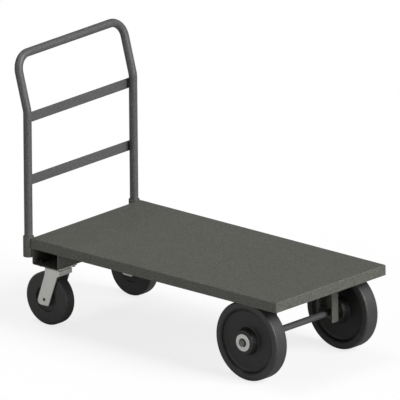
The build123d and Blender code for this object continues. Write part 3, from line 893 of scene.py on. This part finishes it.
def floor():
    """A plain pale floor. It glows a little where it is seen, so that shadows on it stay faint,
    and throws less light back than it shows, so that undersides stay dark."""
    material = bpy.data.materials.new("studio_floor")
    material.use_nodes = True
    tree = material.node_tree
    shader = tree.nodes["Principled BSDF"]
    shader.inputs["Roughness"].default_value = FLOOR_ROUGHNESS
    seen = tree.nodes.new("ShaderNodeLightPath").outputs["Is Camera Ray"]
    mix = tree.nodes.new("ShaderNodeMix")
    mix.data_type = "RGBA"
    mix.inputs[6].default_value = opaque(grey(FLOOR_UNSEEN))
    mix.inputs[7].default_value = opaque(grey(FLOOR_SEEN))
    glow = tree.nodes.new("ShaderNodeMath")
    glow.operation = "MULTIPLY"
    glow.inputs[1].default_value = FLOOR_GLOW
    tree.links.new(seen, mix.inputs[0])
    tree.links.new(seen, glow.inputs[0])
    tree.links.new(mix.outputs[2], shader.inputs["Base Color"])
    shader.inputs["Emission Color"].default_value = (1, 1, 1, 1)
    tree.links.new(glow.outputs[0], shader.inputs["Emission Strength"])
    mesh = bpy.data.meshes.new("studio_floor")
    half = FLOOR_HALF_WIDTH
    corners = [(-half, -half, 0), (half, -half, 0), (half, half, 0), (-half, half, 0)]
    mesh.from_pydata(corners, [], [(0, 1, 2, 3)])
    mesh.materials.append(material)
    ground = bpy.data.objects.new("studio_floor", mesh)
    bpy.context.scene.collection.objects.link(ground)


def sun(name, strength, size, azimuth, elevation):
    """A soft light from far away, its angles in degrees. Azimuth 0 comes from +X and 90 from +Y."""
    data = bpy.data.lights.new(name, "SUN")
    data.energy = strength
    data.angle = math.radians(size)
    light = bpy.data.objects.new(name, data)
    bpy.context.scene.collection.objects.link(light)
    a = math.radians(azimuth)
    e = math.radians(elevation)
    towards_light = Vector((math.cos(a) * math.cos(e), math.sin(a) * math.cos(e), math.sin(e)))
    light.rotation_mode = "QUATERNION"
    light.rotation_quaternion = towards_light.to_track_quat("Z", "Y")


def lights():
    """A soft key from the load end, a low light under the deck, weak ones above and from the right."""
    sun("key", strength=3.25, size=30, azimuth=12, elevation=34)
    sun("low", strength=0.75, size=14, azimuth=-8, elevation=3)
    sun("top", strength=0.8, size=20, azimuth=180, elevation=75)
    sun("fill", strength=0.62, size=60, azimuth=-104, elevation=12)
    world = bpy.data.worlds.new("studio_sky")
    world.use_nodes = True
    background = world.node_tree.nodes["Background"]
    background.inputs["Color"].default_value = (1, 1, 1, 1)
    background.inputs["Strength"].default_value = SKY_STRENGTH
    bpy.context.scene.world = world
    bpy.context.scene.view_settings.view_transform = "Standard"


def camera():
    """The photograph's view: no perspective, aimed above and a little left of the deck's middle."""
    azimuth = math.radians(VIEW_AZIMUTH)
    elevation = math.radians(VIEW_ELEVATION)
    roll = math.radians(VIEW_ROLL)
    flat = Vector((math.sin(azimuth), -math.cos(azimuth), 0))
    back = flat * math.cos(elevation) + Vector((0, 0, math.sin(elevation)))
    level_right = Vector((math.cos(azimuth), math.sin(azimuth), 0))
    level_up = back.cross(level_right)
    right = math.cos(roll) * level_right + math.sin(roll) * level_up
    up = math.cos(roll) * level_up - math.sin(roll) * level_right
    deck = middle("deck_pan")
    deck.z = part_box("deck_pan")[1].z
    aim = deck + VIEW_RIGHT_OF_DECK_MIDDLE * right + VIEW_ABOVE_DECK_MIDDLE * up
    data = bpy.data.cameras.new("camera")
    data.type = "ORTHO"
    data.ortho_scale = VIEW_WIDTH
    view = bpy.data.objects.new("camera", data)
    bpy.context.scene.collection.objects.link(view)
    turn = Matrix((right, up, back)).transposed().to_4x4()
    view.matrix_world = Matrix.Translation(aim + back * VIEW_DISTANCE) @ turn
    bpy.context.scene.camera = view


camera()
lights()
floor()
finish_cad_nodes()

handle_tube_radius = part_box("handle_tube")[1].y - middle("handle_socket_left").y
handle_tube(handle_tube_radius)
rounded_bar("lower_crossbar", "lower_crossbar_skin")
rounded_bar("upper_crossbar", "upper_crossbar_skin")
for side_name in SIDES:
    front_tyre(side_name)
    front_wheel_centre(side_name)
    caster_wheel(side_name)
    handle_socket(side_name)
plate_bolts()
socket_welds()
crossbar_welds(handle_tube_radius)
bracket_welds()
stitch_welds()
